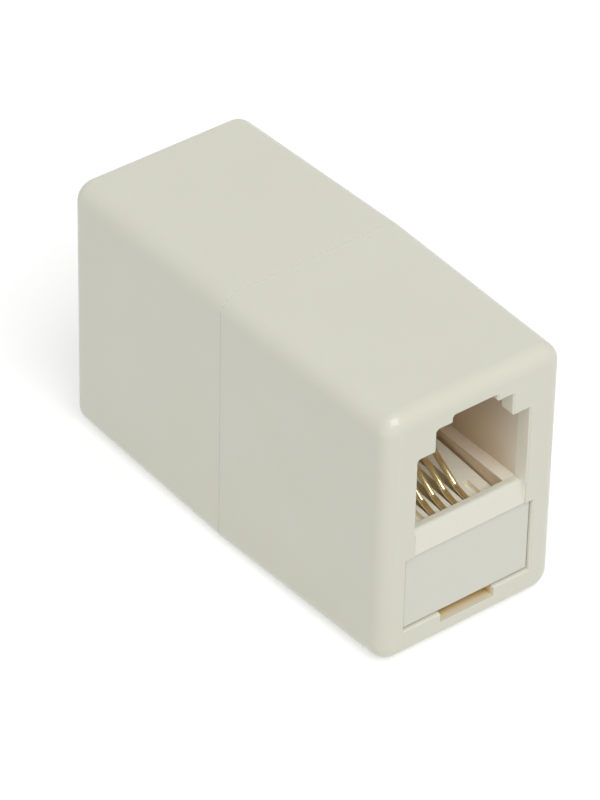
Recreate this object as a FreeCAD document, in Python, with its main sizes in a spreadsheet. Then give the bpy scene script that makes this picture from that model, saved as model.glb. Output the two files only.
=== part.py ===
import FreeCAD, Part
import math
import os
import Sketcher

# Six-position, four-contact modular inline coupler, all sizes in mm.
# X is the width, Y runs from the front jack (-Y) to the rear jack (+Y), +Z is up.

DIMENSIONS = [
    # outside of the two half shells
    ("body_length", 36.6, "end face to end face"),
    ("side_wall", 2.05, "room behind the window to the outside, at the seam"),
    ("top_wall", 1.54, "ceiling of the jack to the top, at the seam"),
    ("end_taper", 0.3, "each side draws in this much from seam to end"),
    ("edge_round", 1.6, "long edges"),
    ("end_round", 1.2, "edges of the end faces"),
    ("seam_step", 0.03, "joint line, this deep and this wide in each half"),
    # jack mouth, seen from the end
    ("front_wall", 1.25, "thickness of each end wall"),
    ("mouth_width", 10.1, "plug body"),
    ("floor_height", 10.96, "sill and rail tops, from the base"),
    ("plug_height", 6.7, "sill to first shoulder"),
    ("shoulder_width", 6.9, "latch, wide part"),
    ("shoulder_height", 1.9, "first to second shoulder"),
    ("key_width", 4.0, "latch, narrow part"),
    ("key_height", 0.6, "second shoulder to mouth top"),
    ("corner_round", 0.2, "corners of the mouth outline"),
    ("mouth_bevel", 0.12, "front edge of the mouth"),
    ("lead_foot", 0.08, "sill face behind the end face, at its foot"),
    ("lead_top", 0.62, "sill face behind the end face, at its top"),
    ("sill_round", 0.35, "top edge of the sill"),
    # room behind the mouth
    ("latch_room", 0.6, "room above the mouth for the latch"),
    ("jack_depth", 12.8, "end face to back wall"),
    ("rail_gap_front", 7.8, "between the rails, behind the end wall"),
    ("rail_gap_seam", 8.6, "between the rails, at the seam"),
    # window under the mouth, and the release notch in its foot
    ("window_width", 11.6, ""),
    ("window_base", 2.73, "from the base"),
    ("window_top", 9.15, "from the base"),
    ("window_bevel", 0.1, "front edge of the window"),
    ("room_step", 0.4, "room behind the window is larger by this each side"),
    ("notch_width", 4.9, ""),
    ("notch_height", 0.75, "below the window"),
    ("notch_run", 2.6, "in from the end face"),
    # lip that lines up the half shells
    ("lip_offset", 0.25, "outside the room"),
    ("lip_thick", 0.6, ""),
    ("lip_length", 0.8, ""),
    ("lip_clearance", 0.08, ""),
    # contact carrier
    ("panel_recess", 0.25, "carrier end behind the end face"),
    ("panel_gap", 0.08, "round the carrier end in the window"),
    ("panel_bevel", 0.1, "edge of the carrier end"),
    ("fit_clearance", 0.05, "carrier in the half shells"),
    ("comb_front_height", 9.72, "comb top behind the sill, from the base"),
    ("comb_rise", 0.08, "comb top rises this much per mm"),
    ("contact_pitch", 1.016, ""),
    ("slot_width", 0.62, "comb slots"),
    ("short_slot_end", 3.8, "unused slots stop here, from the end face"),
    ("short_slot_base", 9.45, "unused slots, from the base"),
    # contact wires
    ("wire_size", 0.46, "diameter"),
    ("wire_clearance", 0.03, "wire over slot floor"),
    ("wire_height", 8.55, "straight run, from the base"),
    ("wire_turn", 0.6, "half the height of the turn behind the sill"),
    ("wire_turn_reach", 0.7, "reach of that turn towards the end face"),
    ("wire_turn_place", 2.4, "centre of that turn, from the end face"),
    ("wire_first_angle", 18.0, "degrees"),
    ("wire_bend_place", 3.5, "from the end face"),
    ("wire_bend", 1.2, "radius"),
    ("wire_angle", 33.0, "degrees"),
    ("wire_end_place", 10.6, "free end, from the end face"),
    # how far a cut or a joined block runs past the face that it only has to reach
    ("allowance", 0.5, ""),
]

# places across the jack, counted from its middle in steps of the contact pitch
WIRE_PLACES = (-1.5, -0.5, 0.5, 1.5)
SPARE_PLACES = (-2.5, 2.5)

doc = FreeCAD.newDocument("inline_coupler")
sheet = doc.addObject("Spreadsheet::Sheet", "dims")
for row, (alias, value, note) in enumerate(DIMENSIONS, start=1):
    sheet.set("A%d" % row, alias)
    sheet.set("B%d" % row, repr(float(value)))
    sheet.set("C%d" % row, note)
    sheet.setAlias("B%d" % row, alias)
doc.recompute()

# lengths that follow from the driving ones, written once and reused in the expressions
HALF = "dims.body_length / 2"
MOUTH = "dims.mouth_width / 2"
FLOOR = "dims.floor_height"
FIRST = "(dims.floor_height + dims.plug_height)"
SECOND = "(dims.floor_height + dims.plug_height + dims.shoulder_height)"
TOP = "(dims.floor_height + dims.plug_height + dims.shoulder_height + dims.key_height)"
CEILING = "(%s + dims.latch_room)" % TOP
WINDOW = "dims.window_width / 2"
ROOM = "(dims.window_width / 2 + dims.room_step)"
ROOM_BASE = "(dims.window_base - dims.room_step)"
ROOM_TOP = "(dims.window_top + dims.room_step)"
OVER_FLOOR = "(dims.floor_height + dims.allowance)"
SEAM_HALF = "(%s + dims.side_wall)" % ROOM
SEAM_TOP = "(%s + dims.top_wall)" % CEILING


def evaluate(expression):
    """Number an expression over the sheet gives, for the first position of a point."""
    result = sheet.evalExpression(expression.replace("dims.", ""))
    return float(getattr(result, "Value", result))


def plane(body, role):
    for feature in body.Origin.OriginFeatures:
        if feature.Role == role:
            return feature
    raise ValueError(role)


def new_sketch(body, name, role, offset=None):
    sketch = doc.addObject("Sketcher::SketchObject", name)
    body.addObject(sketch)
    sketch.AttachmentSupport = [(plane(body, role), "")]
    sketch.MapMode = "FlatFace"
    if offset:
        sketch.setExpression("AttachmentOffset.Base.z", offset)
    return sketch


def place_point(sketch, geometry, end, u, v):
    """Dimension one point of a sketch from the origin, both ways."""
    for kind, text in (("DistanceX", u), ("DistanceY", v)):
        index = sketch.addConstraint(Sketcher.Constraint(kind, -1, 1, geometry, end, evaluate(text)))
        sketch.setExpression("Constraints[%d]" % index, text)


def add_polygon(sketch, points):
    start = sketch.GeometryCount
    values = [FreeCAD.Vector(evaluate(u), evaluate(v), 0) for u, v in points]
    count = len(points)
    for i in range(count):
        sketch.addGeometry(Part.LineSegment(values[i], values[(i + 1) % count]), False)
    for i in range(count):
        following = start + (i + 1) % count
        sketch.addConstraint(Sketcher.Constraint("Coincident", start + i, 2, following, 1))
    for i, (u, v) in enumerate(points):
        place_point(sketch, start + i, 1, u, v)


def add_rounded_outline(sketch, corners, size):
    """Outline of level and upright lines. Each corner is (u, v, rounded or not)."""
    count = len(corners)
    radius = evaluate(size)
    points = [FreeCAD.Vector(evaluate(u), evaluate(v), 0) for u, v, rounded in corners]

    def tangent(i, j):
        """Where the line from corner i towards corner j starts: its texts and its position."""
        u, v, rounded = corners[i]
        step = points[j] - points[i]
        if not rounded:
            return u, v, points[i]
        step.normalize()
        sign = "+" if step.x + step.y > 0 else "-"
        if abs(step.x) > abs(step.y):
            u = "%s %s %s" % (u, sign, size)
        else:
            v = "%s %s %s" % (v, sign, size)
        return u, v, points[i] + step * radius

    lines = []
    for i in range(count):
        start, finish = tangent(i, (i + 1) % count), tangent((i + 1) % count, i)
        line = sketch.addGeometry(Part.LineSegment(start[2], finish[2]), False)
        place_point(sketch, line, 1, start[0], start[1])
        place_point(sketch, line, 2, finish[0], finish[1])
        lines.append(line)
    for i in range(count):
        if not corners[i][2]:
            continue
        before, after = tangent(i, i - 1)[2], tangent(i, (i + 1) % count)[2]
        centre = before + after - points[i]
        ends = [(before, lines[i - 1], 2), (after, lines[i], 1)]
        if (before - centre).cross(after - centre).z < 0:
            ends.reverse()
        spoke = ends[0][0] - centre
        angle = math.atan2(spoke.y, spoke.x)
        circle = Part.Circle(centre, FreeCAD.Vector(0, 0, 1), radius)
        arc = sketch.addGeometry(Part.ArcOfCircle(circle, angle, angle + math.pi / 2), False)
        sketch.addConstraint(Sketcher.Constraint("Coincident", arc, 1, ends[0][1], ends[0][2]))
        sketch.addConstraint(Sketcher.Constraint("Coincident", arc, 2, ends[1][1], ends[1][2]))
        index = sketch.addConstraint(Sketcher.Constraint("Radius", arc, radius))
        sketch.setExpression("Constraints[%d]" % index, size)


def rectangle(half_width, low, high):
    return [("-" + half_width, low), (half_width, low), (half_width, high), ("-" + half_width, high)]


def add_pad(body, sketch, name, length, reverse=False, both=False, taper=None):
    pad = body.newObject("PartDesign::Pad", name)
    pad.Profile = sketch
    pad.setExpression("Length", length)
    pad.Reversed = reverse
    pad.Midplane = both
    if taper:
        pad.setExpression("TaperAngle", taper)
    sketch.Visibility = False
    doc.recompute()
    return pad


def add_pocket(body, sketch, name, length=None, reverse=False, both=False):
    pocket = body.newObject("PartDesign::Pocket", name)
    pocket.Profile = sketch
    if length is None:
        pocket.Type = "ThroughAll"
    else:
        pocket.setExpression("Length", length)
    pocket.Reversed = reverse
    pocket.Midplane = both
    sketch.Visibility = False
    doc.recompute()
    return pocket


def edges_where(feature, test):
    names = ["Edge%d" % (i + 1) for i, edge in enumerate(feature.Shape.Edges) if test(edge)]
    if not names:
        raise ValueError("no edge found on " + feature.Name)
    return names


def dress_edges(body, feature, kind, name, size, test):
    """Fillet or Chamfer on the edges that pass a test."""
    dressing = body.newObject("PartDesign::" + kind, name)
    dressing.Base = (feature, edges_where(feature, test))
    dressing.setExpression("Radius" if kind == "Fillet" else "Size", size)
    doc.recompute()
    return dressing


def box_of(edge):
    box = edge.BoundBox
    return box.XMin, box.XMax, box.YMin, box.YMax, box.ZMin, box.ZMax


def near(a, b, slack=0.02):
    return abs(a - b) < slack


def build_shell(name, side):
    """One half shell. side is -1 for the front half and +1 for the rear half."""
    rear = side > 0
    body = doc.addObject("PartDesign::Body", name)
    body.Label = name
    half = evaluate(HALF)
    end = side * half

    outline = new_sketch(body, name + "_outline", "XZ_Plane")
    add_polygon(outline, rectangle(SEAM_HALF, "0 mm", SEAM_TOP))
    block = add_pad(body, outline, name + "_block", HALF, reverse=rear,
                    taper="-atan(dims.end_taper / (%s))" % HALF)

    def long_edge(edge):
        return edge.BoundBox.YLength > half / 2

    def end_edge(edge):
        x0, x1, y0, y1, z0, z1 = box_of(edge)
        return near(y0, end, 0.1) and near(y1, end, 0.1)

    longs = dress_edges(body, block, "Fillet", name + "_long_edges", "dims.edge_round", long_edge)
    dress_edges(body, longs, "Fillet", name + "_end_edges", "dims.end_round", end_edge)

    # shallow step round the joint face, so that the halves meet in a fine line
    step = new_sketch(body, name + "_joint", "XZ_Plane")
    add_polygon(step, rectangle("(%s + dims.allowance)" % SEAM_HALF, "-dims.allowance",
                                "%s + dims.allowance" % SEAM_TOP))
    add_rounded_outline(step, [
        (u, v, True) for u, v in rectangle("(%s - dims.seam_step)" % SEAM_HALF, "dims.seam_step",
                                           "(%s - dims.seam_step)" % SEAM_TOP)],
        "(dims.edge_round - dims.seam_step)")
    add_pocket(body, step, name + "_joint_cut", "dims.seam_step", reverse=not rear)

    # rooms, cut from the seam up to the back of the end wall
    depth = "%s - dims.front_wall" % HALF
    jack = new_sketch(body, name + "_jack_room", "XZ_Plane")
    add_polygon(jack, rectangle(MOUTH, FLOOR, CEILING))
    add_pocket(body, jack, name + "_jack_room_cut", depth, reverse=not rear)

    lower = new_sketch(body, name + "_carrier_room", "XZ_Plane")
    add_polygon(lower, rectangle(ROOM, ROOM_BASE, ROOM_TOP))
    add_pocket(body, lower, name + "_carrier_room_cut", depth, reverse=not rear)

    sign = "" if rear else "-"
    rails = new_sketch(body, name + "_rails", "XY_Plane", FLOOR)
    add_polygon(rails, [
        ("-dims.rail_gap_seam / 2", "0 mm"), ("dims.rail_gap_seam / 2", "0 mm"),
        ("dims.rail_gap_front / 2", "%s(%s)" % (sign, depth)),
        ("-dims.rail_gap_front / 2", "%s(%s)" % (sign, depth))])
    add_pocket(body, rails, name + "_rails_cut", "%s - %s" % (FLOOR, ROOM_TOP))

    # stepped mouth through the end wall
    mouth = new_sketch(body, name + "_mouth", "XZ_Plane")
    wide, narrow = "dims.shoulder_width / 2", "dims.key_width / 2"
    add_rounded_outline(mouth, [
        ("-" + MOUTH, FLOOR, False), (MOUTH, FLOOR, False), (MOUTH, FIRST, True),
        (wide, FIRST, True), (wide, SECOND, True), (narrow, SECOND, True), (narrow, TOP, True),
        ("-" + narrow, TOP, True), ("-" + narrow, SECOND, True), ("-" + wide, SECOND, True),
        ("-" + wide, FIRST, True), ("-" + MOUTH, FIRST, True)], "dims.corner_round")
    cut = add_pocket(body, mouth, name + "_mouth_cut", reverse=not rear)

    floor, high = evaluate(FLOOR), evaluate(TOP)

    def mouth_rim(edge):
        x0, x1, y0, y1, z0, z1 = box_of(edge)
        inside = abs(x0) < evaluate(MOUTH) + 0.1 and abs(x1) < evaluate(MOUTH) + 0.1
        return near(y0, end) and near(y1, end) and inside and floor + 0.1 < z1 < high + 0.1

    dress_edges(body, cut, "Chamfer", name + "_mouth_rim", "dims.mouth_bevel", mouth_rim)

    # sloping face of the sill, then its rounded top
    lead = new_sketch(body, name + "_sill", "YZ_Plane")
    outside = "%s(%s + dims.allowance)" % (sign, HALF)
    foot = "%s(%s - dims.lead_foot)" % (sign, HALF)
    head = "%s(%s - dims.lead_top)" % (sign, HALF)
    add_polygon(lead, [(outside, "dims.window_top"), (foot, "dims.window_top"), (head, FLOOR),
                       (head, OVER_FLOOR), (outside, OVER_FLOOR)])
    sloped = add_pocket(body, lead, name + "_sill_cut", "dims.mouth_width", both=True)

    sill = end - side * evaluate("dims.lead_top")

    def sill_edge(edge):
        x0, x1, y0, y1, z0, z1 = box_of(edge)
        return near(y0, sill) and near(y1, sill) and near(z0, floor) and near(z1, z0) \
            and x1 - x0 > evaluate(MOUTH)

    dress_edges(body, sloped, "Fillet", name + "_sill_round", "dims.sill_round", sill_edge)

    # window for the carrier end, through the end wall
    window = new_sketch(body, name + "_window", "XZ_Plane")
    add_polygon(window, rectangle(WINDOW, "dims.window_base", "dims.window_top"))
    add_pocket(body, window, name + "_window_cut", reverse=not rear)

    notch = new_sketch(body, name + "_notch", "XZ_Plane", ("-" if rear else "") + HALF)
    add_polygon(notch, rectangle("dims.notch_width / 2", "dims.window_base - dims.notch_height",
                                 "dims.window_base + dims.allowance"))
    notched = add_pocket(body, notch, name + "_notch_cut", "dims.notch_run", reverse=rear)

    def window_rim(edge):
        x0, x1, y0, y1, z0, z1 = box_of(edge)
        low, top = evaluate("dims.window_base"), evaluate("dims.window_top")
        on_end = near(y0, end) and near(y1, end) and abs(x0) < evaluate(WINDOW) + 0.1
        return on_end and z1 < top + 0.05 and z0 > low - 0.05 \
            and (near(z0, z1) and near(z0, low) or near(x0, x1) and z1 - z0 > 3)

    dress_edges(body, notched, "Chamfer", name + "_window_rim", "dims.window_bevel", window_rim)

    # lip on the front half, seat for it in the rear half
    extra = " + dims.lip_clearance" if rear else ""
    less = " - dims.lip_clearance" if rear else ""
    inner_x = "(%s + dims.lip_offset%s)" % (ROOM, less)
    outer_x = "(%s + dims.lip_offset + dims.lip_thick%s)" % (ROOM, extra)
    inner = rectangle(inner_x, "%s - dims.lip_offset%s" % (ROOM_BASE, extra),
                      "%s + dims.lip_offset%s" % (CEILING, less))
    outer = rectangle(outer_x, "%s - dims.lip_offset - dims.lip_thick%s" % (ROOM_BASE, less),
                      "%s + dims.lip_offset + dims.lip_thick%s" % (CEILING, extra))
    lip = new_sketch(body, name + "_lip", "XZ_Plane")
    add_polygon(lip, outer)
    add_polygon(lip, inner)
    if rear:
        add_pocket(body, lip, name + "_lip_seat", "dims.lip_length + dims.lip_clearance")
    else:
        add_pad(body, lip, name + "_lip_ring", "dims.lip_length", reverse=True)
    return body


def build_carrier(name):
    body = doc.addObject("PartDesign::Body", name)
    body.Label = name
    clear = "dims.fit_clearance"

    block = new_sketch(body, name + "_block", "XZ_Plane")
    add_polygon(block, rectangle("(%s - %s)" % (ROOM, clear), "%s + %s" % (ROOM_BASE, clear),
                                 "%s - %s" % (ROOM_TOP, clear)))
    add_pad(body, block, name + "_block_pad",
            "dims.body_length - 2 * (dims.front_wall + %s)" % clear, both=True)

    ends = new_sketch(body, name + "_ends", "XZ_Plane")
    add_polygon(ends, rectangle("(%s - dims.panel_gap)" % WINDOW, "dims.window_base + dims.panel_gap",
                                "dims.window_top - dims.panel_gap"))
    panel = add_pad(body, ends, name + "_ends_pad", "dims.body_length - 2 * dims.panel_recess",
                    both=True)
    tip = evaluate("%s - dims.panel_recess" % HALF)

    def panel_edge(edge):
        x0, x1, y0, y1, z0, z1 = box_of(edge)
        return near(abs(y0), tip) and near(y0, y1)

    dress_edges(body, panel, "Chamfer", name + "_ends_bevel", "dims.panel_bevel", panel_edge)

    # comb top rises from behind the sill to the back wall of each jack
    front = "(%s - dims.front_wall - 2 * %s)" % (HALF, clear)
    back = "(%s - dims.jack_depth)" % HALF
    crest = "(dims.comb_front_height + dims.comb_rise * (dims.jack_depth - dims.front_wall))"
    comb = new_sketch(body, name + "_comb", "YZ_Plane")
    base = "%s - dims.allowance" % ROOM_TOP
    add_polygon(comb, [
        ("-" + front, base), (front, base), (front, "dims.comb_front_height"), (back, crest),
        ("-" + back, crest), ("-" + front, "dims.comb_front_height")])
    add_pad(body, comb, name + "_comb_pad", "dims.rail_gap_front - 2 * %s" % clear, both=True)

    # wall between the two jacks
    wall = new_sketch(body, name + "_wall", "XZ_Plane")
    add_polygon(wall, rectangle("(%s - %s)" % (MOUTH, clear), "%s + %s" % (FLOOR, clear),
                                "%s - %s" % (CEILING, clear)))
    add_pad(body, wall, name + "_wall_pad", "2 * %s" % back, both=True)
    stem = new_sketch(body, name + "_stem", "XZ_Plane")
    add_polygon(stem, rectangle("(dims.rail_gap_front / 2 - %s)" % clear, base, OVER_FLOOR))
    add_pad(body, stem, name + "_stem_pad", "2 * %s" % back, both=True)

    # slots for the four wires: open over the comb, closed under the wall
    low = "(dims.wire_height - dims.wire_size / 2 - dims.wire_clearance)"
    roof = "(dims.wire_height + dims.slot_width / 2)"
    slots = new_sketch(body, name + "_wire_slots", "YZ_Plane",
                       "%s * dims.contact_pitch" % WIRE_PLACES[0])
    add_polygon(slots, [
        ("-" + front, low), (front, low), (front, OVER_FLOOR), (back, OVER_FLOOR),
        (back, roof), ("-" + back, roof), ("-" + back, OVER_FLOOR), ("-" + front, OVER_FLOOR)])
    cut = add_pocket(body, slots, name + "_wire_slot", "dims.slot_width", both=True)
    add_row(body, cut, name + "_wire_slot_row", WIRE_PLACES)

    # unused places, shallow and short
    spare = new_sketch(body, name + "_spare_slots", "YZ_Plane",
                       "%s * dims.contact_pitch" % SPARE_PLACES[0])
    stop = "(%s - dims.short_slot_end)" % HALF
    for sign in ("", "-"):
        add_polygon(spare, [
            (sign + front, "dims.short_slot_base"), (sign + front, FLOOR),
            (sign + stop, FLOOR), (sign + stop, "dims.short_slot_base")])
    shallow = add_pocket(body, spare, name + "_spare_slot", "dims.slot_width", both=True)
    add_row(body, shallow, name + "_spare_slot_row", SPARE_PLACES)
    return body


def add_row(body, feature, name, places):
    row = body.newObject("PartDesign::LinearPattern", name)
    row.Originals = [feature]
    row.Direction = (plane(body, "X_Axis"), [""])
    row.setExpression("Length", "%s * dims.contact_pitch" % (places[-1] - places[0]))
    row.Occurrences = len(places)
    doc.recompute()
    body.Tip = row
    return row


def build_wire(name, place):
    """Round wire, straight under the wall and bent up into a spring in each jack."""
    body = doc.addObject("PartDesign::Body", name)
    body.Label = name
    offset = "%s * dims.contact_pitch" % place
    path = new_sketch(body, name + "_path", "YZ_Plane", offset)

    turn = "-(%s - dims.wire_turn_place)" % HALF
    first = "dims.wire_first_angle * 1 deg"
    # the turn is half an oval; the wire leaves it where it slopes by the first angle
    leave = "atan(dims.wire_turn_reach / dims.wire_turn * tan(%s))" % first
    leave_u = "%s - dims.wire_turn_reach * sin(%s)" % (turn, leave)
    leave_v = "dims.wire_height + dims.wire_turn * (1 + cos(%s))" % leave
    bend_u = "-(%s - dims.wire_bend_place)" % HALF
    bend_v = "%s + (%s - (%s)) * tan(%s)" % (leave_v, bend_u, leave_u, first)
    second = "dims.wire_angle * 1 deg"
    reach = "dims.wire_bend * tan((dims.wire_angle - dims.wire_first_angle) * 0.5 deg)"
    in_u = "%s - %s * cos(%s)" % (bend_u, reach, first)
    in_v = "%s - %s * sin(%s)" % (bend_v, reach, first)
    out_u = "%s + %s * cos(%s)" % (bend_u, reach, second)
    out_v = "%s + %s * sin(%s)" % (bend_v, reach, second)
    tip_u = "-(%s - dims.wire_end_place)" % HALF
    tip_v = "%s + (%s - (%s)) * tan(%s)" % (bend_v, tip_u, bend_u, second)

    def at(u, v):
        return FreeCAD.Vector(evaluate(u), evaluate(v), 0)

    z_axis = FreeCAD.Vector(0, 0, 1)
    line = path.addGeometry(Part.LineSegment(at("0 mm", "dims.wire_height"),
                                             at(turn, "dims.wire_height")), False)
    one = math.radians(evaluate("dims.wire_first_angle"))
    two = math.radians(evaluate("dims.wire_angle"))
    middle = "dims.wire_height + dims.wire_turn"
    nose = "%s - dims.wire_turn_reach" % turn
    oval = Part.Ellipse(at(nose, middle), at(turn, "dims.wire_height"), at(turn, middle))
    arc = path.addGeometry(Part.ArcOfEllipse(oval, oval.parameter(at(leave_u, leave_v)),
                                             oval.parameter(at(turn, "dims.wire_height"))), False)
    path.exposeInternalGeometry(arc)
    long_axis = arc + 1
    rise = path.addGeometry(Part.LineSegment(at(leave_u, leave_v), at(in_u, in_v)), False)
    size = evaluate("dims.wire_bend")
    hub = at(in_u, in_v) + FreeCAD.Vector(-math.sin(one), math.cos(one), 0) * size
    bend = path.addGeometry(Part.ArcOfCircle(Part.Circle(hub, z_axis, size),
                                             one - math.pi / 2, two - math.pi / 2), False)
    spring = path.addGeometry(Part.LineSegment(at(out_u, out_v), at(tip_u, tip_v)), False)

    for a, end_a, b, end_b in ((line, 2, arc, 2), (arc, 1, rise, 1), (rise, 2, bend, 1),
                               (bend, 2, spring, 1)):
        path.addConstraint(Sketcher.Constraint("Coincident", a, end_a, b, end_b))
    place_point(path, line, 1, "0 mm", "dims.wire_height")
    place_point(path, line, 2, turn, "dims.wire_height")
    place_point(path, arc, 3, turn, middle)
    place_point(path, long_axis, 1, nose, middle)
    index = path.addConstraint(Sketcher.Constraint("DistanceX", -1, 1, rise, 1, evaluate(leave_u)))
    path.setExpression("Constraints[%d]" % index, leave_u)
    place_point(path, rise, 2, in_u, in_v)
    place_point(path, spring, 1, out_u, out_v)
    place_point(path, spring, 2, tip_u, tip_v)
    index = path.addConstraint(Sketcher.Constraint("Radius", bend, size))
    path.setExpression("Constraints[%d]" % index, "dims.wire_bend")

    ring = new_sketch(body, name + "_section", "XZ_Plane")
    circle = ring.addGeometry(Part.Circle(FreeCAD.Vector(evaluate(offset), evaluate("dims.wire_height"),
                                                         0), z_axis, evaluate("dims.wire_size / 2")),
                              False)
    place_point(ring, circle, 3, offset, "dims.wire_height")
    index = ring.addConstraint(Sketcher.Constraint("Radius", circle, evaluate("dims.wire_size / 2")))
    ring.setExpression("Constraints[%d]" % index, "dims.wire_size / 2")
    doc.recompute()

    pipe = body.newObject("PartDesign::AdditivePipe", name + "_bent")
    pipe.Profile = ring
    pipe.Spine = (path, [])
    doc.recompute()
    other = body.newObject("PartDesign::Mirrored", name + "_both_ends")
    other.Originals = [pipe]
    other.MirrorPlane = (plane(body, "XZ_Plane"), [""])
    body.Tip = other
    doc.recompute()
    return body


NODES = [build_shell("front_shell", -1), build_shell("rear_shell", 1), build_carrier("contact_carrier")]
for number, place in enumerate(WIRE_PLACES, start=2):
    NODES.append(build_wire("contact_wire_%d" % number, place))
doc.recompute()

for item in doc.Objects:
    bad = [state for state in item.State if state in ("Invalid", "Error")]
    if bad:
        raise ValueError("%s is %s" % (item.Label, bad))
for body in NODES:
    if body.Shape.isNull() or not body.Shape.isValid() or len(body.Shape.Solids) != 1:
        raise ValueError("%s has no single valid solid" % body.Label)

os.makedirs("parts", exist_ok=True)
for body in NODES:
    body.Shape.exportStep("parts/%s.step" % body.Label)
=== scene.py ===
import math

import bpy
from mathutils import Matrix, Vector


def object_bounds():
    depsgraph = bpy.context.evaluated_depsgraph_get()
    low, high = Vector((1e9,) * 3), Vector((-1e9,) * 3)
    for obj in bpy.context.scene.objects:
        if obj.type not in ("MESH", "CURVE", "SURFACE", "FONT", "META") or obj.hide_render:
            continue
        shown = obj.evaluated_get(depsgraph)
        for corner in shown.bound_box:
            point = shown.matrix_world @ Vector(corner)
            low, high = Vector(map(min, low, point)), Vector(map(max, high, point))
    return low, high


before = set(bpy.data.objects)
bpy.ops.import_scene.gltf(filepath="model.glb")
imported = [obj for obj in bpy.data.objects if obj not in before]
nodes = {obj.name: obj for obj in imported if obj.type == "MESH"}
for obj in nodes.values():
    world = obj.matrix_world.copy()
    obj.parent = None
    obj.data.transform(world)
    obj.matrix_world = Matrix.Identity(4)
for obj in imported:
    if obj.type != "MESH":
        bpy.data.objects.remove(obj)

# Dresses the inline coupler: ivory plastic and gold-plated wires, on a white floor, under one soft lamp.

MM = 0.001
cad_low, cad_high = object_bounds()

# Camera: it aims at a point near the middle of the part from the front left and above.
AZIMUTH, ELEVATION, ROLL = -38.92, 37.22, 1.25      # degrees
AIM = Vector((2.334, 4.004, 6.030)) * MM
DISTANCE = 371.3 * MM
SENSOR, LENS = 36.0, 226.6                          # mm, the sensor along the picture's long side
CLIP_NEAR, CLIP_FAR = 0.01, 10.0                    # metres

# Lamp and stage
KEY_AZIMUTH, KEY_ELEVATION = -18, 53                # degrees
KEY_DISTANCE, KEY_SIZE = 0.9, 0.6                   # metres
KEY_POWER = 4.0                                     # watts
WORLD_FILL = 0.56                                   # strength of the world's light
FLOOR_HALF = 2.0                                    # metres
FLOOR_GLOW, FOOT_PAINTED_LIGHT = 0.36, 0.54                  # glow that the camera sees: open floor, and painted light at the part's foot that thins its contact shadow
FOOT_REACH = 1.5 * MM                               # the floor counts as the foot within this

# Where a surface starts to count as the inside of a recess: behind the outer skin and the end wall
SIDE_SKIN, END_SKIN, END_WALL = 1.1 * MM, 0.32 * MM, 1.3 * MM
NOTCH_TOP, NOTCH_HALF = 7.5 * MM, 2.5 * MM          # the release notch lies below and inside these
RIM_SIDE, RIM_DEPTH = 2.0 * MM, 0.12 * MM           # the end wall's rim lies further in than these
JOINT_HALF, JOINT_BLEND = 0.035 * MM, 0.01 * MM
EDGE_BLEND, NOTCH_BLEND = 0.1 * MM, 1 * MM

# How open a recess is, from 1 for free to 0 for shut in, and where its painted recess colours turn
OPEN_REACH = 15 * MM
SHADED_FROM, SHADED_TO = 0.60, 0.12
DEEP_FROM, DEEP_TO = 0.22, 0.04

# Colours, linear
IVORY = (0.682, 0.679, 0.566)
IVORY_PALE = (0.702, 0.701, 0.596)
IVORY_JOINT_PAINTED_LIGHT = (0.900, 0.895, 0.800)                # painted light on the joint between the half shells, cancelling the shade in its groove
IVORY_RIM_PAINTED_LIGHT = (0.748, 0.744, 0.640)                   # painted light round the mouth and the window
IVORY_LIT = (0.950, 0.935, 0.815)                   # painted light on faces inside a jack that look up, and on the rim's upright sides
# painted shade in the shell's recesses: the shaded colour, then the deep one
IVORY_SHADED = (0.800, 0.648, 0.490)
IVORY_DEEP_SHADE = (0.640, 0.470, 0.300)
CARRIER = (0.669, 0.668, 0.580)
CARRIER_PALE = (0.690, 0.690, 0.608)
# painted light in the carrier's recesses, paler than its body, so its comb and slots look lit
CARRIER_RECESS_PAINTED_LIGHT = (0.950, 0.925, 0.800)
CARRIER_DEEP_PAINTED_LIGHT = (0.900, 0.800, 0.600)
# painted shade in the release notch: the shaded colour, then the deep one
NOTCH_SHADED = (0.940, 0.730, 0.430)
NOTCH_DEEP_SHADE = (0.540, 0.370, 0.060)
GOLD = (0.970, 0.830, 0.480)
GOLD_PALE = (1.000, 0.920, 0.680)
WHITE = (1.0, 1.0, 1.0)
FLOOR_DULL, FLOOR_PALE = (0.80, 0.80, 0.80), (0.82, 0.82, 0.82)


def tone(colour):
    return (*colour, 1.0)


# ---------------------------------------------------------------- node helpers

def add_node(tree, kind, inputs=None, **settings):
    """A shader node with its settings, and its input sockets given as values or as other outputs."""
    made = tree.nodes.new(kind)
    for name, value in settings.items():
        setattr(made, name, value)
    for name, value in (inputs or {}).items():
        if isinstance(value, bpy.types.NodeSocket):
            tree.links.new(value, made.inputs[name])
        else:
            made.inputs[name].default_value = value
    return made


def new_material(name):
    """An empty material with its output node: (material, node tree, output)."""
    material = bpy.data.materials.new(name)
    material.use_nodes = True
    tree = material.node_tree
    tree.nodes.clear()
    return material, tree, tree.nodes.new("ShaderNodeOutputMaterial")


def place(tree, stretch=(1.0, 1.0, 1.0)):
    """Position on the part in metres, stretched along the axes."""
    where = tree.nodes.new("ShaderNodeTexCoord")
    mapping = add_node(tree, "ShaderNodeMapping", {"Vector": where.outputs["Object"], "Scale": stretch})
    return mapping.outputs["Vector"]


def separate(tree, vector):
    """A vector's X, Y and Z outputs."""
    return add_node(tree, "ShaderNodeSeparateXYZ", {"Vector": vector}).outputs


def noise(tree, where, size, detail):
    """Noise whose patches are about size metres across."""
    return add_node(tree, "ShaderNodeTexNoise", {
        "Vector": where, "Scale": 1.0 / size, "Detail": detail}).outputs["Fac"]


def openness(tree, reach):
    """1 where nothing stands within reach of the surface, and towards 0 where it is shut in."""
    return add_node(tree, "ShaderNodeAmbientOcclusion", {"Distance": reach}, samples=8).outputs["AO"]


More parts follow.
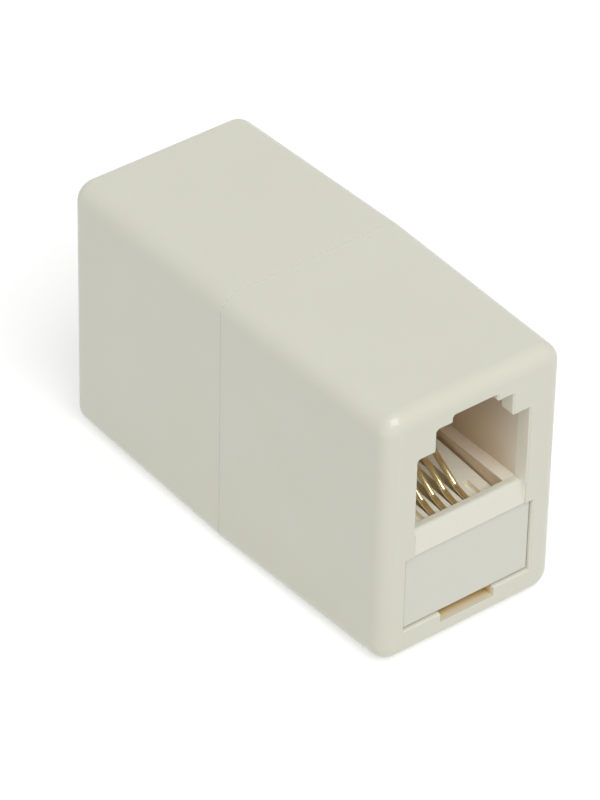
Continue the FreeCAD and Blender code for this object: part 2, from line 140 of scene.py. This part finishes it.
def between(tree, value, low, high, start=0.2, end=0.8):
    """value from start to end, spread over low to high."""
    return add_node(tree, "ShaderNodeMapRange", {
        "Value": value, "From Min": start, "From Max": end, "To Min": low,
        "To Max": high}).outputs["Result"]


def calculate(tree, operation, *values):
    """Result of a Math node on one or two numbers or outputs."""
    return add_node(tree, "ShaderNodeMath", dict(enumerate(values)), operation=operation).outputs["Value"]


def larger(tree, first, second):
    return calculate(tree, "MAXIMUM", first, second)


def product(tree, first, second):
    return calculate(tree, "MULTIPLY", first, second)


def opposite(tree, value):
    return calculate(tree, "SUBTRACT", 1.0, value)


def blend_colour(tree, factor, first, second):
    """The first colour where factor is 0 and the second where it is 1."""
    mixed = tree.nodes.new("ShaderNodeMix")
    mixed.data_type = "RGBA"
    for socket, value in ((mixed.inputs[0], factor), (mixed.inputs[6], first), (mixed.inputs[7], second)):
        if isinstance(value, bpy.types.NodeSocket):
            tree.links.new(value, socket)
        else:
            socket.default_value = value
    return mixed.outputs[2]


def bump(tree, height, distance, normal=None):
    """A normal raised by height times distance, on top of another normal where one is given."""
    inputs = {"Height": height, "Distance": distance, "Strength": 1.0}
    if normal is not None:
        inputs["Normal"] = normal
    return add_node(tree, "ShaderNodeBump", inputs).outputs["Normal"]


# ---------------------------------------------------------------- places on the part

def past(tree, part, axis, start):
    """1 where the surface is further than start from the middle of the part's box, along an axis."""
    index = "XYZ".index(axis)
    centre = (cad_low[index] + cad_high[index]) / 2
    distance = calculate(tree, "ABSOLUTE", calculate(tree, "SUBTRACT", part[axis], centre))
    return between(tree, distance, 0.0, 1.0, start=start, end=start + EDGE_BLEND)


def near_side(tree, part, axis, depth):
    """1 where the surface lies less than depth inside the part's box, along an axis."""
    index = "XYZ".index(axis)
    return past(tree, part, axis, (cad_high[index] - cad_low[index]) / 2 - depth)


def outside(tree, part, in_jack):
    """1 on the outer skin and round the carrier's ends, which shut in nothing, and 0 in a recess."""
    sides = larger(tree, near_side(tree, part, "X", SIDE_SKIN), near_side(tree, part, "Z", SIDE_SKIN))
    skin = larger(tree, sides, near_side(tree, part, "Y", END_SKIN))
    mouth = product(tree, near_side(tree, part, "Y", END_WALL), in_jack)
    beside_notch = product(tree, past(tree, part, "X", NOTCH_HALF), opposite(tree, in_jack))
    return larger(tree, larger(tree, skin, mouth), beside_notch)


def facing(tree):
    """The surface's direction, as X, Y and Z outputs."""
    return separate(tree, tree.nodes.new("ShaderNodeNewGeometry").outputs["Normal"])


# ---------------------------------------------------------------- materials

def moulded_plastic(name, colour, pale, painted_recess_tone, painted_deep_tone, rim=None):
    """Satin ivory plastic: cloudy colour, painted warm shade where it is shut in, painted light on faces
    in the jack that look up, on the joint and on the end wall's rim where one is given, faint mould grain
    and flow waves.
    """
    material, tree, output = new_material(name)
    where = place(tree)
    part = separate(tree, where)
    clouds = noise(tree, where, size=9 * MM, detail=2.0)
    body = blend_colour(tree, between(tree, clouds, 0.0, 1.0), tone(colour), tone(pale))
    # painted light on the end wall's rim, where a rim colour is given
    if rim:
        body = painted_rim_light(tree, part, body, rim)
    # painted recess colours, then painted light on the joint between the half shells
    body = painted_joint_light(tree, part, painted_recess_colours(tree, part, body, painted_recess_tone, painted_deep_tone))

    # rounded edges first, then slow waves from the mould, then fine grain
    edges = add_node(tree, "ShaderNodeBevel", {"Radius": 0.07 * MM}, samples=4).outputs["Normal"]
    waves = bump(tree, noise(tree, where, size=3.5 * MM, detail=2.0), 0.02 * MM, edges)
    grain = bump(tree, noise(tree, where, size=0.5 * MM, detail=2.0), 0.0015 * MM, waves)
    rough = between(tree, noise(tree, where, size=2.5 * MM, detail=1.0), low=0.34, high=0.42)

    shader = add_node(tree, "ShaderNodeBsdfPrincipled", {
        "Base Color": body, "Roughness": rough, "Normal": grain, "IOR": 1.53,
        "Coat Weight": 0.4, "Coat Roughness": 0.05, "Coat IOR": 1.5,
        "Subsurface Weight": 0.10, "Subsurface Radius": (1.0, 0.75, 0.45),
        "Subsurface Scale": 0.5 * MM})
    tree.links.new(shader.outputs["BSDF"], output.inputs["Surface"])
    return material


def painted_recess_colours(tree, part, body, painted_recess_tone, painted_deep_tone):
    """Painted recess colours where a surface is shut in: the first colour, then the deep one, warm as
    bounced light is; painted shade on the shell, painted light on the carrier, and paler painted light on
    faces in the jack that look up.
    """
    in_jack = between(tree, part["Z"], 0.0, 1.0, start=NOTCH_TOP, end=NOTCH_TOP + NOTCH_BLEND)
    share = larger(tree, openness(tree, OPEN_REACH), outside(tree, part, in_jack))
    # painted light: faces in the jack that look up get paler colours than the recess colours
    upward = between(tree, facing(tree)["Z"], 0.0, 1.0, start=0.4, end=0.9)
    from_above = product(tree, upward, in_jack)

    painted_recess = blend_colour(tree, in_jack, tone(NOTCH_SHADED), tone(painted_recess_tone))
    painted_recess = blend_colour(tree, from_above, painted_recess, tone(IVORY_LIT))
    depth = blend_colour(tree, in_jack, tone(NOTCH_DEEP_SHADE), tone(painted_deep_tone))
    depth = blend_colour(tree, from_above, depth, tone(painted_recess_tone))
    out_of_shade = between(tree, share, 0.0, 1.0, start=SHADED_TO, end=SHADED_FROM)
    out_of_depth = between(tree, share, 0.0, 1.0, start=DEEP_TO, end=DEEP_FROM)
    return blend_colour(tree, out_of_depth, depth, blend_colour(tree, out_of_shade, painted_recess, body))


def painted_rim_light(tree, part, body, rim):
    """Painted light: the end wall's thickness, seen in the mouth and the window, is painted paler, most
    on upright sides.
    """
    sides = larger(tree, near_side(tree, part, "X", RIM_SIDE), near_side(tree, part, "Z", RIM_SIDE))
    inward = product(tree, opposite(tree, sides), opposite(tree, near_side(tree, part, "Y", RIM_DEPTH)))
    sideways = calculate(tree, "ABSOLUTE", facing(tree)["X"])
    upright = between(tree, sideways, 0.0, 1.0, start=0.6, end=0.95)
    return blend_colour(tree, inward, body, blend_colour(tree, upright, tone(rim), tone(IVORY_LIT)))


def painted_joint_light(tree, part, body):
    """Painted light: the fine line where the half shells meet is painted paler, cancelling the shade in
    its groove.
    """
    distance = calculate(tree, "ABSOLUTE", part["Y"])
    away = between(tree, distance, 0.0, 1.0, start=JOINT_HALF, end=JOINT_HALF + JOINT_BLEND)
    return blend_colour(tree, away, tone(IVORY_JOINT_PAINTED_LIGHT), body)


def plated_wire(name):
    """Gold plate on drawn wire: fine lines along it, thin and dull in patches."""
    material, tree, output = new_material(name)
    along = place(tree, stretch=(1.0, 0.08, 0.35))
    lines = noise(tree, along, size=0.07 * MM, detail=2.0)
    patches = noise(tree, place(tree), size=0.9 * MM, detail=3.0)
    colour = blend_colour(tree, between(tree, patches, 0.0, 1.0), tone(GOLD), tone(GOLD_PALE))
    shader = add_node(tree, "ShaderNodeBsdfPrincipled", {
        "Base Color": colour, "Metallic": 1.0, "Roughness": between(tree, patches, low=0.07, high=0.16),
        "Normal": bump(tree, lines, 0.003 * MM)})
    tree.links.new(shader.outputs["BSDF"], output.inputs["Surface"])
    return material


def white_floor(name):
    """Pale floor that the camera sees as white, with the part's soft shadow, thinned right at its foot by
    painted light.
    """
    material, tree, output = new_material(name)
    mottle = noise(tree, place(tree), size=30 * MM, detail=2.0)
    colour = blend_colour(tree, mottle, tone(FLOOR_DULL), tone(FLOOR_PALE))
    diffuse = add_node(tree, "ShaderNodeBsdfDiffuse", {"Color": colour}).outputs["BSDF"]
    # painted light: the floor glows more where the part shuts it in, near its foot
    strength = between(tree, openness(tree, FOOT_REACH), FOOT_PAINTED_LIGHT, FLOOR_GLOW, start=0.0, end=1.0)
    glow = add_node(tree, "ShaderNodeEmission", {"Color": tone(WHITE), "Strength": strength})
    lit = add_node(tree, "ShaderNodeAddShader", {0: diffuse, 1: glow.outputs["Emission"]})
    choose = add_node(tree, "ShaderNodeMixShader", {
        "Fac": seen_directly(tree), 1: diffuse, 2: lit.outputs["Shader"]})
    tree.links.new(choose.outputs["Shader"], output.inputs["Surface"])
    return material


def seen_directly(tree):
    """1 for rays from the camera, from a mirror-like surface or through a clear one."""
    path = tree.nodes.new("ShaderNodeLightPath").outputs
    mirrored = larger(tree, path["Is Camera Ray"], path["Is Glossy Ray"])
    return larger(tree, mirrored, path["Is Transmission Ray"])


# ---------------------------------------------------------------- stage

def direction(azimuth, elevation):
    """Unit vector from the part towards what stands at that azimuth and elevation, in degrees."""
    a, e = math.radians(azimuth), math.radians(elevation)
    return Vector((math.sin(a) * math.cos(e), -math.cos(a) * math.cos(e), math.sin(e)))


def add_floor():
    """Square floor that touches the lowest point of the part."""
    mesh = bpy.data.meshes.new("floor")
    corners = [(x * FLOOR_HALF, y * FLOOR_HALF, 0) for x, y in ((-1, -1), (1, -1), (1, 1), (-1, 1))]
    mesh.from_pydata(corners, [], [(0, 1, 2, 3)])
    floor = bpy.data.objects.new("floor", mesh)
    bpy.context.scene.collection.objects.link(floor)
    floor.location.z = cad_low.z
    mesh.materials.append(white_floor("floor_white"))


def add_world():
    """White as the camera and glossy surfaces see it, and a dimmer fill as light."""
    world = bpy.data.worlds.new("studio")
    bpy.context.scene.world = world
    world.use_nodes = True
    tree = world.node_tree
    tree.nodes.clear()
    white = add_node(tree, "ShaderNodeBackground", {"Color": tone(WHITE), "Strength": 1.0})
    fill = add_node(tree, "ShaderNodeBackground", {"Color": tone(WHITE), "Strength": WORLD_FILL})
    choose = add_node(tree, "ShaderNodeMixShader", {
        "Fac": seen_directly(tree), 1: fill.outputs["Background"], 2: white.outputs["Background"]})
    output = tree.nodes.new("ShaderNodeOutputWorld")
    tree.links.new(choose.outputs["Shader"], output.inputs["Surface"])


def add_key():
    """Square soft lamp that faces the part."""
    data = bpy.data.lights.new("key", "AREA")
    data.shape = "SQUARE"
    data.size = KEY_SIZE
    data.energy = KEY_POWER
    lamp = bpy.data.objects.new("key", data)
    bpy.context.scene.collection.objects.link(lamp)
    towards = direction(KEY_AZIMUTH, KEY_ELEVATION)
    lamp.location = (cad_low + cad_high) / 2 + towards * KEY_DISTANCE
    lamp.rotation_euler = towards.to_track_quat("Z", "Y").to_euler()


def add_camera():
    """The camera, turned about its own line of sight by the roll."""
    back = direction(AZIMUTH, ELEVATION)
    right = Vector((0, 0, 1)).cross(back).normalized()
    up = back.cross(right)
    turn = Matrix.Rotation(math.radians(ROLL), 3, back)
    right, up = turn @ right, turn @ up
    data = bpy.data.cameras.new("camera")
    data.lens = LENS
    data.sensor_width = SENSOR
    data.clip_start, data.clip_end = CLIP_NEAR, CLIP_FAR
    camera = bpy.data.objects.new("camera", data)
    bpy.context.scene.collection.objects.link(camera)
    axes = Matrix((right, up, back)).transposed().to_4x4()
    camera.matrix_world = Matrix.Translation(AIM + back * DISTANCE) @ axes
    bpy.context.scene.camera = camera


# ---------------------------------------------------------------- dress the part

def dress(node, material):
    """Gives a CAD node its material."""
    mesh = nodes[node].data
    mesh.materials.clear()
    mesh.materials.append(material)


shell = moulded_plastic("shell_plastic", IVORY, IVORY_PALE, IVORY_SHADED, IVORY_DEEP_SHADE, IVORY_RIM_PAINTED_LIGHT)
carrier = moulded_plastic("carrier_plastic", CARRIER, CARRIER_PALE, CARRIER_RECESS_PAINTED_LIGHT, CARRIER_DEEP_PAINTED_LIGHT)
gold = plated_wire("contact_gold")
for name in nodes:
    if name.endswith("_shell"):
        dress(name, shell)
    elif name.startswith("contact_wire"):
        dress(name, gold)
    else:
        dress(name, carrier)

add_floor()
add_world()
add_key()
add_camera()

bpy.context.scene.view_settings.view_transform = "Standard"
